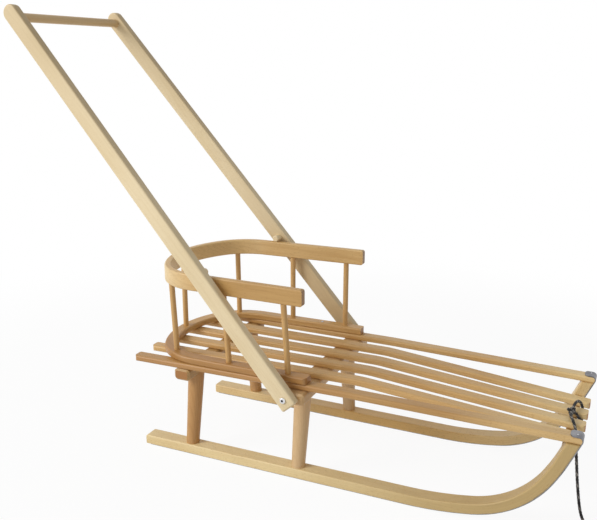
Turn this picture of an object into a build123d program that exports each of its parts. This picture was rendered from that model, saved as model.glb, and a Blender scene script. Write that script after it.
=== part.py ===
from build123d import *
import math
import os

os.makedirs("parts", exist_ok=True)

# driving sizes, in mm and degrees; stations run forward from the rear ends of the seat slats
SEAT_TOP = 214.0
SLAT_THICK = 13.0
SLAT_WIDTH = 28.0
SLAT_EASE = 4.5
SLAT_END_R = 9.0
SLAT_REAR_PITCH = 65.0
SLAT_TIP_PITCH = 54.0
SLAT_BEND_X = 475.0
SLAT_BEND_R = 300.0
SLAT_TIP_X = 915.0
MID_DROP = 5.25
OUTER_DROP = 1.1
TIP_Y = 143.0
RUNNER_REAR_Y = 150.0
RUNNER_WIDTH = 34.0
RUNNER_HEIGHT = 21.0
RUNNER_REAR = 13.5
RUNNER_EASE = 3.0
RUNNER_HEEL_R = 5.0
NOSE_START = 610.0
SHOE_THICK = 2.0
SHOE_WIDTH = 26.0
SHOE_REAR = 22.0
SHOE_BEND = 7.0
TONGUE_LENGTH = 27.8
TONGUE_END_R = 11.0
BAR_HEIGHT = 25.0
BAR_EASE = 8.0
BAR_END_EASE = 4.0
REAR_BAR_X = 119.5
REAR_BAR_WIDTH = 37.0
REAR_BAR_HALF = 176.0
MID_BAR_X = 384.0
MID_BAR_WIDTH = 46.0
FRONT_BAR_X = 889.0
FRONT_BAR_WIDTH = 16.0
FRONT_BAR_HEIGHT = 15.0
FRONT_BAR_EASE = 3.5
LEG_REAR_X = 125.0
LEG_MID_X = 378.0
LEG_TOP_R = 18.0
LEG_FOOT_R = 14.1
LEG_SPLAY = 23.3
LEG_GAP = 3.0
LOW_HOOP_HALF = 157.0
LOW_HOOP_WIDTH = 28.2
LOW_HOOP_HEIGHT = 15.0
LOW_HOOP_EASE = 4.0
LOW_HOOP_CORNER = 9.0
TOP_HOOP_HALF = 165.0
TOP_HOOP_THICK = 14.6
TOP_HOOP_HEIGHT = 34.8
TOP_HOOP_Z = 411.0
TOP_HOOP_EASE = 3.5
TOP_HOOP_CORNER = 6.0
HOOP_SPREAD_X = 200.0
TOP_HOOP_SPREAD = 1.2
HOOP_BACK_X = 20.5
LOW_HOOP_FRONT_X = 404.0
TOP_HOOP_FRONT_X = 398.5
BACK_RADIUS = 205.0
CORNER_RADIUS = 110.0
SPINDLE_R = 6.0
SPINDLE_BACK_X = 87.0
SPINDLE_BACK_Y = 139.5
SPINDLE_SIDE_X = 225.0
SPINDLE_FRONT_X = 360.0
SPINDLE_LEAN_X = 4.0
SPINDLE_LEAN_Y = 3.8
BOLT_X = 372.2
BOLT_Z = 193.05
BOLT_R = 4.0
BOLT_HEAD_R = 6.2
BOLT_HEAD_HEIGHT = 3.2
BOLT_CROWN = 2.0
BOLT_SOCKET_R = 2.4
BOLT_SOCKET_DEPTH = 2.0
BOLT_CLEARANCE = 0.06
BOLT_GRIP = 36.0
HEAD_CLEARANCE = 0.25
POLE_CLEARANCE = 1.0
PEG_X = 177.0
PEG_R = 7.5
PEG_LENGTH = 20.0
PEG_EASE = 2.5
SOCKET_DEPTH = 9.0
POLE_WIDTH = 35.6
POLE_THICK = 20.0
POLE_BELOW = 20.0
POLE_PAST_GRIP = 28.0
POLE_FOOT_R = 4.0
POLE_TOP_FLAT = 0.2
POLE_TOE_IN = 0.0276
POLE_EASE = 4.0
HOOP_CLEARANCE = 7.15
GRIP_ALONG = 960.0
GRIP_R = 9.3
ROPE_R = 3.2
ROPE_REST = 0.2
KNOT_X = 885.5
KNOT_LENGTH = 20.0
KNOT_HEIGHT = 15.6
KNOT_NEAR_Y = -4.0
KNOT_FAR_Y = 15.0
KNOT_ABOVE = 3.6
KNOT_EASE = 3.0
COIL_MID_R = 35.0
COIL_LEAD = 24.0
COIL_TAIL = 44.0
COIL_TAIL_ANGLE = -85.0
END_KNOT_R = 7.0
END_KNOT_LENGTH = 15.0

# the nose bend, as radius and angle of the shoe's outer face
NOSE_ARCS = [
    {"radius": 700.0, "angle": 10.5},
    {"radius": 205.0, "angle": 48.5},
    {"radius": 400.0, "angle": 7.5},
]

SLAT_UNDER = SEAT_TOP - SLAT_THICK
SLAT_MID_Z = SEAT_TOP - SLAT_THICK / 2
RUNNER_TOP = SHOE_THICK + RUNNER_HEIGHT
BAR_UNDER = SLAT_UNDER - BAR_HEIGHT
HOOP_UNDER = TOP_HOOP_Z - TOP_HOOP_HEIGHT
LOW_HOOP_TOP = SEAT_TOP + LOW_HOOP_HEIGHT
PEG_Z = TOP_HOOP_Z + PEG_R
LEAN = math.atan2(BOLT_X - PEG_X, PEG_Z - BOLT_Z)
POLE_LENGTH = GRIP_ALONG + POLE_PAST_GRIP
POLE_COS = 1 / math.sqrt(1 + POLE_TOE_IN**2)
HOOP_OUTER_Y = max(TOP_HOOP_HALF + TOP_HOOP_THICK / 2, LOW_HOOP_HALF + LOW_HOOP_WIDTH / 2)
POLE_TOE_AT_HOOP = POLE_TOE_IN * (TOP_HOOP_Z - BOLT_Z) / math.cos(LEAN)
POLE_FOOT_Y = HOOP_OUTER_Y + HOOP_CLEARANCE + POLE_THICK / 2 + POLE_TOE_AT_HOOP
BAR_HALF = POLE_FOOT_Y - POLE_THICK / 2 - POLE_CLEARANCE
NOSE_ANGLE = sum(arc["angle"] for arc in NOSE_ARCS)
NOSE_SIN = math.sin(math.radians(NOSE_ANGLE))
NOSE_COS = math.cos(math.radians(NOSE_ANGLE))
SHOE_MID = SHOE_THICK / 2


def nose_end(offset):
    """Where the nose bend ends, for a line that runs offset above the shoe's outer face."""
    x, z, angle = NOSE_START, offset, 0.0
    for arc in NOSE_ARCS:
        radius = arc["radius"] - offset
        after = angle + math.radians(arc["angle"])
        x += radius * (math.sin(after) - math.sin(angle))
        z += radius * (math.cos(angle) - math.cos(after))
        angle = after
    return x, z


def slat_bend(drop):
    """Where a slat's middle line ends its bend and runs straight down to the tip."""
    turn = math.radians(drop)
    return SLAT_BEND_X + SLAT_BEND_R * math.sin(turn), SLAT_MID_Z - SLAT_BEND_R * (1 - math.cos(turn))


def slat_z(drop, x, offset):
    """Height at station x of a line that lies offset above a slat's middle line, past its bend."""
    bend_x, bend_z = slat_bend(drop)
    turn = math.radians(drop)
    return bend_z + offset / math.cos(turn) - (x - bend_x) * math.tan(turn)


# the shoe's middle line rises straight past the nose bend and turns back over the outer slat
OUTER_SIN = math.sin(math.radians(OUTER_DROP))
OUTER_COS = math.cos(math.radians(OUTER_DROP))
NOSE_X, NOSE_Z = nose_end(SHOE_MID)
BEND_DX = SHOE_BEND * (OUTER_SIN - NOSE_SIN)
BEND_DZ = SHOE_BEND * (OUTER_COS + NOSE_COS)
SHOE_LIFT = slat_z(OUTER_DROP, NOSE_X + BEND_DX, SLAT_THICK / 2 + SHOE_MID) - NOSE_Z - BEND_DZ
SHOE_RISE = SHOE_LIFT / (NOSE_SIN + NOSE_COS * OUTER_SIN / OUTER_COS)
TIP_REACH = NOSE_X + SHOE_RISE * NOSE_COS + SHOE_BEND * (1 - NOSE_SIN) + SHOE_MID

# the origin lies midway between the nose tips and the push handle's rearmost point
REAR_REACH = (POLE_LENGTH - POLE_WIDTH / 2) * math.sin(LEAN) * POLE_COS + POLE_WIDTH / 2 - BOLT_X
REAR_X = (REAR_REACH - TIP_REACH) / 2
print("first station's X, mm:", round(REAR_X, 3), "nose reach, mm:", round(TIP_REACH, 2))
CUT = 2 * SEAT_TOP


def station(x):
    """A station as an X coordinate."""
    return REAR_X + x


def side_plane(rear_y, tip_y):
    """Upright plane through a point at the slats' rear ends and one at their tips."""
    yaw = math.atan2(tip_y - rear_y, SLAT_TIP_X)
    return Plane(
        origin=(station(0), rear_y, 0),
        x_dir=(math.cos(yaw), math.sin(yaw), 0),
        z_dir=(math.sin(yaw), -math.cos(yaw), 0),
    )


def runner_y(x):
    """How far a runner's middle lies from the sled's centre plane at a station."""
    return RUNNER_REAR_Y + (TIP_Y - RUNNER_REAR_Y) * x / SLAT_TIP_X


def pole_y(along):
    """How far a pole's middle lies from the centre plane, along the pole from its bolt."""
    return POLE_FOOT_Y - POLE_TOE_IN * along


def facing(sign, y):
    """Upright plane at a distance y from the centre plane on one side, facing out from the sled."""
    return Plane(origin=(0, sign * y, 0), x_dir=(1, 0, 0), z_dir=(0, sign, 0))


# runners: straight sole, a nose of three arcs and a straight rise to the outer slat's underside
SIDES = [
    {"side": "left", "sign": 1},
    {"side": "right", "sign": -1},
]
for row in SIDES:
    plane = side_plane(row["sign"] * RUNNER_REAR_Y, row["sign"] * TIP_Y)
    with BuildPart() as runner:
        with BuildSketch(plane):
            with BuildLine():
                edge_ends = []
                for height in (SHOE_THICK, RUNNER_TOP):
                    edge = Line((RUNNER_REAR, height), (NOSE_START, height))
                    for arc in NOSE_ARCS:
                        edge = JernArc(edge @ 1, edge % 1, arc["radius"] - height, arc["angle"])
                    edge = Line(edge @ 1, edge @ 1 + RUNNER_TOP * 3 * (edge % 1))
                    edge_ends.append(edge @ 1)
                Line(edge_ends[0], edge_ends[1])
                Line((RUNNER_REAR, SHOE_THICK), (RUNNER_REAR, RUNNER_TOP))
            make_face()
        extrude(amount=RUNNER_WIDTH / 2, both=True)
        heel = runner.edges().filter_by(Axis.Z).group_by(Axis.X)[0]
        fillet(heel, RUNNER_HEEL_R)
        rear_face = runner.faces().sort_by(Axis.X)[0]
        along = runner.edges().filter_by(lambda edge: edge.length > RUNNER_WIDTH) - rear_face.edges()
        fillet(along, RUNNER_EASE)
        with BuildSketch(plane):
            with BuildLine():
                back_x = NOSE_X - RUNNER_TOP * 3
                ahead_x = NOSE_X + RUNNER_TOP * 5
                Polyline(
                    (back_x, slat_z(OUTER_DROP, back_x, -SLAT_THICK / 2)),
                    (ahead_x, slat_z(OUTER_DROP, ahead_x, -SLAT_THICK / 2)),
                    (ahead_x, CUT),
                    (back_x, CUT),
                    close=True,
                )
            make_face()
        extrude(amount=RUNNER_WIDTH, both=True, mode=Mode.SUBTRACT)
    runner.part.label = "runner_" + row["side"]
    export_step(runner.part, "parts/runner_" + row["side"] + ".step")

    # steel shoe: under the runner, up the nose and back over the outer slat as a rounded tongue
    with BuildPart() as shoe:
        with BuildLine(plane) as shoe_path:
            flat = Line((SHOE_REAR, SHOE_MID), (NOSE_START, SHOE_MID))
            edge = flat
            for arc in NOSE_ARCS:
                edge = JernArc(edge @ 1, edge % 1, arc["radius"] - SHOE_MID, arc["angle"])
            rise = Line(edge @ 1, edge @ 1 + SHOE_RISE * (edge % 1))
            bend = JernArc(rise @ 1, rise % 1, SHOE_BEND, 180 - NOSE_ANGLE - OUTER_DROP)
            tongue = Line(bend @ 1, bend @ 1 + TONGUE_LENGTH * (bend % 1))
        with BuildSketch(Plane(origin=flat @ 0, x_dir=plane.z_dir, z_dir=flat % 0)):
            Rectangle(SHOE_WIDTH, SHOE_THICK)
        sweep(path=shoe_path.wires()[0])
        tongue_edges = shoe.edges().filter_by(lambda edge: abs(edge.length - SHOE_THICK) < 0.01)
        tongue_corners = tongue_edges.sort_by_distance(tongue @ 1)[:2]
        fillet(tongue_corners, TONGUE_END_R)
    shoe.part.label = "runner_shoe_" + row["side"]
    export_step(shoe.part, "parts/runner_shoe_" + row["side"] + ".step")

# seat slats: level over the rear and mid bars, then down to the front, and drawn in to the tips
SLATS = [
    {"name": "slat_outer", "rear_y": 2.5 * SLAT_REAR_PITCH, "tip_y": TIP_Y, "drop": OUTER_DROP},
    {"name": "slat_mid", "rear_y": 1.5 * SLAT_REAR_PITCH, "tip_y": 1.5 * SLAT_TIP_PITCH, "drop": MID_DROP},
    {"name": "slat_inner", "rear_y": 0.5 * SLAT_REAR_PITCH, "tip_y": 0.5 * SLAT_TIP_PITCH, "drop": MID_DROP},
]
for row, side in [(row, side) for row in SLATS for side in SIDES]:
    sign = side["sign"]
    plane = side_plane(sign * row["rear_y"], sign * row["tip_y"])
    wrapped = row["drop"] == OUTER_DROP
    reach = TIP_REACH if wrapped else SLAT_TIP_X
    with BuildPart() as slat:
        with BuildLine(plane) as slat_path:
            level = Line((0, SLAT_MID_Z), (SLAT_BEND_X, SLAT_MID_Z))
            dip = JernArc(level @ 1, level % 1, SLAT_BEND_R, -row["drop"])
            fall_x = reach + SLAT_WIDTH
            Line(dip @ 1, (fall_x, slat_z(row["drop"], fall_x, 0)))
        with BuildSketch(Plane(origin=level @ 0, x_dir=-plane.z_dir, z_dir=level % 0)):
            RectangleRounded(SLAT_WIDTH, SLAT_THICK, SLAT_EASE)
        sweep(path=slat_path.wires()[0])
        plan = Plane(origin=plane.origin, x_dir=plane.x_dir, z_dir=(0, 0, 1))
        with BuildSketch(plan):
            with BuildLine():
                half = SLAT_WIDTH / 2
                front = reach + SLAT_WIDTH * 2 if wrapped else reach
                Polyline((0, -half), (front, -half), (front, half), (0, half), close=True)
            outline = make_face()
            ends = outline.vertices()
            fillet(ends.group_by(Axis.X)[0] if wrapped else ends, SLAT_END_R)
        extrude(amount=CUT, mode=Mode.INTERSECT)
        if wrapped:
            # the tip lies inside the shoe's bend, so it is cut in the runner's own plane
            tip_plane = side_plane(sign * RUNNER_REAR_Y, sign * TIP_Y)
            with BuildSketch(tip_plane):
                with BuildLine():
                    face_x, face_z = nose_end(SHOE_THICK)
                    low = (face_x - RUNNER_TOP * NOSE_COS, face_z - RUNNER_TOP * NOSE_SIN)
                    high = (face_x + SHOE_RISE * NOSE_COS, face_z + SHOE_RISE * NOSE_SIN)
                    face = Line(low, high)
                    curl = JernArc(face @ 1, face % 1, SHOE_BEND - SHOE_MID, 180 - NOSE_ANGLE - OUTER_DROP)
                    back = Line(curl @ 1, curl @ 1 + reach * 2 * (curl % 1))
                    Line(back @ 1, (-reach, low[1]))
                    Line((-reach, low[1]), face @ 0)
                make_face()
            extrude(amount=SLAT_WIDTH, both=True, mode=Mode.INTERSECT)
    slat.part.label = row["name"] + "_" + side["side"]
    export_step(slat.part, "parts/" + slat.part.label + ".step")

# crossbars under the slats; the mid one carries the handle's bolts
CROSSBARS = [
    {"name": "rear", "x": REAR_BAR_X, "width": REAR_BAR_WIDTH, "half": REAR_BAR_HALF, "bolted": False},
    {"name": "mid", "x": MID_BAR_X, "width": MID_BAR_WIDTH, "half": BAR_HALF, "bolted": True},
]
for row in CROSSBARS:
    with BuildPart() as bar:
        with BuildSketch(Plane.XZ):
            with Locations((station(row["x"]), SLAT_UNDER - BAR_HEIGHT / 2)):
                RectangleRounded(row["width"], BAR_HEIGHT, BAR_EASE)
        extrude(amount=row["half"], both=True)
        ends = bar.faces().filter_by(Axis.Y)
        chamfer(ends.edges(), BAR_END_EASE)
        if row["bolted"]:
            for sign in (1, -1):
                with BuildSketch(facing(sign, BAR_HALF)):
                    with Locations((station(BOLT_X), sign * -BOLT_Z)):
                        Circle(BOLT_R)
                extrude(amount=-BOLT_GRIP, mode=Mode.SUBTRACT)
    bar.part.label = "crossbar_" + row["name"]
    export_step(bar.part, "parts/" + bar.part.label + ".step")

# front crossbar between the noses, tilted to the middle slats' underside
front_top_z = slat_z(MID_DROP, FRONT_BAR_X, -SLAT_THICK / 2)
with BuildPart() as front_bar:
    tilt = math.radians(MID_DROP)
    bar_plane = Plane(
        origin=(station(FRONT_BAR_X), 0, front_top_z),
        x_dir=(math.cos(tilt), 0, -math.sin(tilt)),
        z_dir=(0, -1, 0),
    )
    with BuildSketch(bar_plane):
        with Locations((0, -FRONT_BAR_HEIGHT / 2)):
            RectangleRounded(FRONT_BAR_WIDTH, FRONT_BAR_HEIGHT, FRONT_BAR_EASE)
    extrude(amount=runner_y(FRONT_BAR_X + FRONT_BAR_WIDTH / 2) - RUNNER_WIDTH / 2, both=True)
front_bar.part.label = "crossbar_front"
export_step(front_bar.part, "parts/crossbar_front.step")

# legs: tapered rounds leaning in from the runner tops, each notched round its crossbar
REAR_LEG = {"x": LEG_REAR_X, "bar_x": REAR_BAR_X, "bar_width": REAR_BAR_WIDTH, "top": SLAT_UNDER - LEG_GAP}
MID_LEG = {"x": LEG_MID_X, "bar_x": MID_BAR_X, "bar_width": MID_BAR_WIDTH, "top": BAR_UNDER + BAR_EASE}
LEGS = [
    {"name": "leg_rear_left", "sign": 1, **REAR_LEG},
    {"name": "leg_rear_right", "sign": -1, **REAR_LEG},
    {"name": "leg_mid_left", "sign": 1, **MID_LEG},
    {"name": "leg_mid_right", "sign": -1, **MID_LEG},
]
for row in LEGS:
    lean_in = LEG_SPLAY * (row["top"] - RUNNER_TOP) / (BAR_UNDER - RUNNER_TOP)
    foot_y = row["sign"] * runner_y(row["x"])
    head_y = row["sign"] * (runner_y(row["x"]) - lean_in)
    with BuildPart() as leg:
        with BuildSketch(Plane.XY.offset(RUNNER_TOP)):
            with Locations((station(row["x"]), foot_y)):
                Circle(LEG_FOOT_R)
        with BuildSketch(Plane.XY.offset(row["top"])):
            with Locations((station(row["x"]), head_y)):
                Circle(LEG_TOP_R)
        loft()
        with BuildSketch(Plane.XZ):
            with Locations((station(row["bar_x"]), SLAT_UNDER - BAR_HEIGHT / 2)):
                RectangleRounded(row["bar_width"], BAR_HEIGHT, BAR_EASE)
        extrude(amount=REAR_BAR_HALF, both=True, mode=Mode.SUBTRACT)
    leg.part.label = row["name"]
    export_step(leg.part, "parts/" + row["name"] + ".step")

# backrest hoops: straight arms, two tight corners and a wide back arc
HOOPS = [
    {
        "name": "back_lower_hoop",
        "half": LOW_HOOP_HALF,
        "thick": LOW_HOOP_WIDTH,
        "under": SEAT_TOP,
        "tall": LOW_HOOP_HEIGHT,
        "front": LOW_HOOP_FRONT_X,
        "spread": 0.0,
        "ease": LOW_HOOP_EASE,
    },
    {
        "name": "back_upper_hoop",
        "half": TOP_HOOP_HALF,
        "thick": TOP_HOOP_THICK,
        "under": HOOP_UNDER,
        "tall": TOP_HOOP_HEIGHT,
        "front": TOP_HOOP_FRONT_X,
        "spread": TOP_HOOP_SPREAD,
        "ease": TOP_HOOP_EASE,
    },
]
for row in HOOPS:
    # the arm's line and the back arc give the place of the corner arc between them
    spread = math.radians(row["spread"])
    back_centre = Vector(station(HOOP_BACK_X) + BACK_RADIUS, 0, 0)
    arm_point = Vector(station(HOOP_SPREAD_X), row["half"], 0)
    backward = Vector(-math.cos(spread), -math.sin(spread), 0)
    inward = Vector(math.sin(spread), -math.cos(spread), 0)
    offset = arm_point + CORNER_RADIUS * inward - back_centre
    slide = (BACK_RADIUS - CORNER_RADIUS) ** 2 - offset.dot(offset) + offset.dot(backward) ** 2
    corner_centre = back_centre + offset + backward * (math.sqrt(slide) - offset.dot(backward))
    arm_end = corner_centre - CORNER_RADIUS * inward
    half_back = math.degrees(math.atan2(corner_centre.Y, back_centre.X - corner_centre.X))
    arm_start = arm_point - backward * ((row["front"] - HOOP_SPREAD_X) / math.cos(spread))
    mid_z = row["under"] + row["tall"] / 2
    with BuildPart() as hoop:
        with BuildLine(Plane.XY.offset(mid_z)) as hoop_path:
            arm = Line((arm_start.X, arm_start.Y), (arm_end.X, arm_end.Y))
            turn = JernArc(arm @ 1, arm % 1, CORNER_RADIUS, 90 - half_back - row["spread"])
            rear = JernArc(turn @ 1, turn % 1, BACK_RADIUS, 2 * half_back)
            other = JernArc(rear @ 1, rear % 1, CORNER_RADIUS, 90 - half_back - row["spread"])
            Line(other @ 1, (arm_start.X, -arm_start.Y))
        with BuildSketch(Plane(origin=arm @ 0, x_dir=-inward, z_dir=backward)):
            RectangleRounded(row["thick"], row["tall"], row["ease"])
        sweep(path=hoop_path.wires()[0])
        # the arms' front corners are rounded in plan on the flat hoop and in side view on the tall one
        reach = row["front"] - HOOP_BACK_X - row["thick"] * math.sin(spread)
        width = 2 * arm_start.Y + row["thick"]
        if row["thick"] > row["tall"]:
            with BuildSketch(Plane.XY.offset(row["under"])):
                with Locations((station(HOOP_BACK_X), 0)):
                    RectangleRounded(reach * 2, width, LOW_HOOP_CORNER)
            extrude(amount=row["tall"], mode=Mode.INTERSECT)
        else:
            with BuildSketch(Plane.XZ):
                with Locations((station(HOOP_BACK_X), mid_z)):
                    RectangleRounded(reach * 2, row["tall"], TOP_HOOP_CORNER)
            extrude(amount=width, both=True, mode=Mode.INTERSECT)
    hoop.part.label = row["name"]
    export_step(hoop.part, "parts/" + row["name"] + ".step")

# spindles between the hoops, leaning back and out to the wider upper one
side_out = TOP_HOOP_HALF - LOW_HOOP_HALF + (SPINDLE_SIDE_X - HOOP_SPREAD_X) * math.tan(spread)
front_out = TOP_HOOP_HALF - LOW_HOOP_HALF + (SPINDLE_FRONT_X - HOOP_SPREAD_X) * math.tan(spread)
SPINDLES = [
    {"name": "back_centre", "sign": 0, "x": HOOP_BACK_X, "y": 0.0, "back": 0.0, "out": 0.0},
]
for side in SIDES:
    one_side = [
        {"name": "back", "x": SPINDLE_BACK_X, "y": SPINDLE_BACK_Y, "out": SPINDLE_LEAN_Y},
        {"name": "side", "x": SPINDLE_SIDE_X, "y": LOW_HOOP_HALF, "out": side_out},
        {"name": "front", "x": SPINDLE_FRONT_X, "y": LOW_HOOP_HALF, "out": front_out},
    ]
    for row in one_side:
        name = row["name"] + "_" + side["side"]
        SPINDLES.append({**row, "name": name, "sign": side["sign"], "back": SPINDLE_LEAN_X})
for row in SPINDLES:
    with BuildPart() as spindle:
        with BuildSketch(Plane.XY.offset(LOW_HOOP_TOP)):
            with Locations((station(row["x"]), row["sign"] * row["y"])):
                Circle(SPINDLE_R)
        with BuildSketch(Plane.XY.offset(HOOP_UNDER)):
            with Locations((station(row["x"] - row["back"]), row["sign"] * (row["y"] + row["out"]))):
                Circle(SPINDLE_R)
        loft()
    spindle.part.label = "spindle_" + row["name"]
    export_step(spindle.part, "parts/" + spindle.part.label + ".step")

# push handle: two flat poles, their pegs and one round grip
peg_along = math.hypot(BOLT_X - PEG_X, PEG_Z - BOLT_Z)
peg_y = pole_y(peg_along) - POLE_THICK / 2
grip_y = pole_y(GRIP_ALONG) - POLE_THICK / 2
grip_x = BOLT_X - GRIP_ALONG * math.sin(LEAN) * POLE_COS
grip_z = BOLT_Z + GRIP_ALONG * math.cos(LEAN) * POLE_COS
for row in SIDES:
    sign = row["sign"]
    pole_dir = Vector(-math.sin(LEAN), sign * -POLE_TOE_IN, math.cos(LEAN)).normalized()
    pole_normal = (Vector(0, 1, 0) - pole_dir * pole_dir.Y).normalized()
    pole_origin = (station(BOLT_X), sign * POLE_FOOT_Y, BOLT_Z)
    with BuildPart() as pole:
        with BuildSketch(Plane(origin=pole_origin, x_dir=pole_dir, z_dir=pole_normal)) as outline:
            with BuildLine():
                half = POLE_WIDTH / 2
                foot = -POLE_BELOW
                Polyline((foot, -half), (POLE_LENGTH, -half), (POLE_LENGTH, half), (foot, half), close=True)
            make_face()
            fillet(outline.vertices().group_by(Axis.X)[-1], half - POLE_TOP_FLAT)
            fillet(outline.vertices().group_by(Axis.X)[0], POLE_FOOT_R)
        extrude(amount=POLE_THICK / 2, both=True)
        wide = pole.faces().sort_by(Axis.Y)
        fillet(wide[0].edges() + wide[-1].edges(), POLE_EASE)
        bore = BOLT_R + BOLT_CLEARANCE
        HOLES = [
            {"x": BOLT_X, "z": BOLT_Z, "radius": bore, "inner": POLE_FOOT_Y, "depth": POLE_THICK},
            {"x": PEG_X, "z": PEG_Z, "radius": PEG_R, "inner": peg_y, "depth": SOCKET_DEPTH},
            {"x": grip_x, "z": grip_z, "radius": GRIP_R, "inner": grip_y, "depth": SOCKET_DEPTH},
        ]
        for hole in HOLES:
            with BuildSketch(facing(sign, hole["inner"] - POLE_THICK)):
                with Locations((station(hole["x"]), sign * -hole["z"])):
                    Circle(hole["radius"])
            extrude(amount=POLE_THICK + hole["depth"], mode=Mode.SUBTRACT)
    pole.part.label = "handle_pole_" + row["side"]
    export_step(pole.part, "parts/handle_pole_" + row["side"] + ".step")

    with BuildPart() as peg:
        with BuildSketch(facing(sign, peg_y - PEG_LENGTH)):
            with Locations((station(PEG_X), sign * -PEG_Z)):
                Circle(PEG_R)
        extrude(amount=PEG_LENGTH + SOCKET_DEPTH)
        tip = peg.faces().sort_by(Axis.Y)[0 if sign > 0 else -1]
        fillet(tip.edges(), PEG_EASE)
    peg.part.label = "handle_peg_" + row["side"]
    export_step(peg.part, "parts/handle_peg_" + row["side"] + ".step")

    # pivot bolt: fixed in the mid crossbar, running in the pole, with a socket in its round head
    head_y = pole_y(0) + POLE_THICK / 2 + HEAD_CLEARANCE
    centre = (station(BOLT_X), sign * -BOLT_Z)
    with BuildPart() as bolt:
        with BuildSketch(facing(sign, BAR_HALF - BOLT_GRIP)):
            with Locations(centre):
                Circle(BOLT_R)
        extrude(amount=head_y - BAR_HALF + BOLT_GRIP)
        with BuildSketch(facing(sign, head_y)):
            with Locations(centre):
                Circle(BOLT_HEAD_R)
        extrude(amount=BOLT_HEAD_HEIGHT)
        crown = bolt.faces().sort_by(Axis.Y)[-1 if sign > 0 else 0]
        fillet(crown.edges(), BOLT_CROWN)
        with BuildSketch(facing(sign, head_y + BOLT_HEAD_HEIGHT)):
            with Locations(centre):
                RegularPolygon(BOLT_SOCKET_R, 6)
        extrude(amount=-BOLT_SOCKET_DEPTH, mode=Mode.SUBTRACT)
    bolt.part.label = "pivot_bolt_" + row["side"]
    export_step(bolt.part, "parts/pivot_bolt_" + row["side"] + ".step")

with BuildPart() as grip:
    with BuildSketch(Plane.XZ):
        with Locations((station(grip_x), grip_z)):
            Circle(GRIP_R)
    extrude(amount=grip_y + SOCKET_DEPTH, both=True)
grip.part.label = "handle_grip"
export_step(grip.part, "parts/handle_grip.step")

# tow rope: a slack loop round one inner slat, tied beside it
FLOOR_Z = ROPE_R + ROPE_REST
LOOP_POINTS = [
    (887.0, 6.5, 183.0),
    (888.5, 22.0, 189.5),
    (893.5, 37.0, 190.5),
    (899.5, 47.5, 182.5),
    (904.0, 49.5, 166.5),
    (904.5, 39.0, 158.6),
    (904.0, 15.0, 158.6),
    (901.0, 6.5, 167.0),
    (893.0, 5.0, 178.5),
]


def rope_radii(points):
    """Bend radii of a cord's route: each arc takes 0.45 of the shorter run beside it."""
    runs = [after - before for before, after in zip(points, points[1:])]
    radii = []
    for before, after in zip(runs, runs[1:]):
        half_turn = math.radians(before.get_angle(after)) / 2
        radii.append(0.45 * min(before.length, after.length) / math.tan(half_turn))
    return radii


loop_knots = [Vector(station(x), y, z) for x, y, z in LOOP_POINTS]
print("rope loop radii, mm:", [round(radius, 1) for radius in rope_radii(loop_knots)])
with BuildPart() as loop:
    with BuildLine() as loop_path:
        FilletPolyline(*loop_knots, radius=rope_radii(loop_knots))
    with BuildSketch(Plane(origin=loop_knots[0], z_dir=loop_knots[1] - loop_knots[0])):
        Circle(ROPE_R)
    sweep(path=loop_path.wires()[0])
loop.part.label = "tow_rope_loop"
export_step(loop.part, "parts/tow_rope_loop.step")

knot_z = slat_z(MID_DROP, KNOT_X, SLAT_THICK / 2) + KNOT_ABOVE
with BuildPart() as knot:
    with BuildSketch(Plane.XZ.offset(-KNOT_FAR_Y)):
        with Locations((station(KNOT_X), knot_z)):
            RectangleRounded(KNOT_LENGTH, KNOT_HEIGHT, KNOT_HEIGHT / 2 - ROPE_REST)
    extrude(amount=KNOT_FAR_Y - KNOT_NEAR_Y)
    ends = knot.faces().filter_by(Axis.Y)
    chamfer(ends.edges(), KNOT_EASE)
    add(loop.part, mode=Mode.SUBTRACT)
knot.part.label = "tow_rope_knot"
export_step(knot.part, "parts/tow_rope_knot.step")

# the strand's route, as station, y and z: over one slat, down between two and out along the floor
ROPE_POINTS = [
    (886.0, KNOT_NEAR_Y, 183.2),
    (886.0, -22.0, 183.2),
    (892.5, -41.0, 183.0),
    (900.5, -58.0, 171.5),
    (902.0, -60.5, 147.0),
    (906.5, -60.5, 112.0),
    (911.0, -60.8, 73.0),
    (916.8, -61.0, 35.0),
    (922.0, -66.0, 12.5),
    (929.0, -80.0, 4.0),
    (939.0, -98.0, FLOOR_Z),
    (949.5, -113.5, FLOOR_Z),
]
rope_knots = [Vector(station(x), y, z) for x, y, z in ROPE_POINTS]
print("tow rope radii, mm:", [round(radius, 1) for radius in rope_radii(rope_knots)])
with BuildPart() as rope:
    with BuildLine() as rope_path:
        FilletPolyline(*rope_knots, radius=rope_radii(rope_knots))
    with BuildSketch(Plane(origin=rope_knots[0], z_dir=rope_knots[1] - rope_knots[0])):
        Circle(ROPE_R)
    sweep(path=rope_path.wires()[0])
rope.part.label = "tow_rope"
export_step(rope.part, "parts/tow_rope.step")
rope_length = rope_path.wires()[0].length
print("tow rope length, mm:", round(rope_length, 1))
print("volume over section times length:", round(rope.part.volume / (math.pi * ROPE_R**2 * rope_length), 4))

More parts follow.
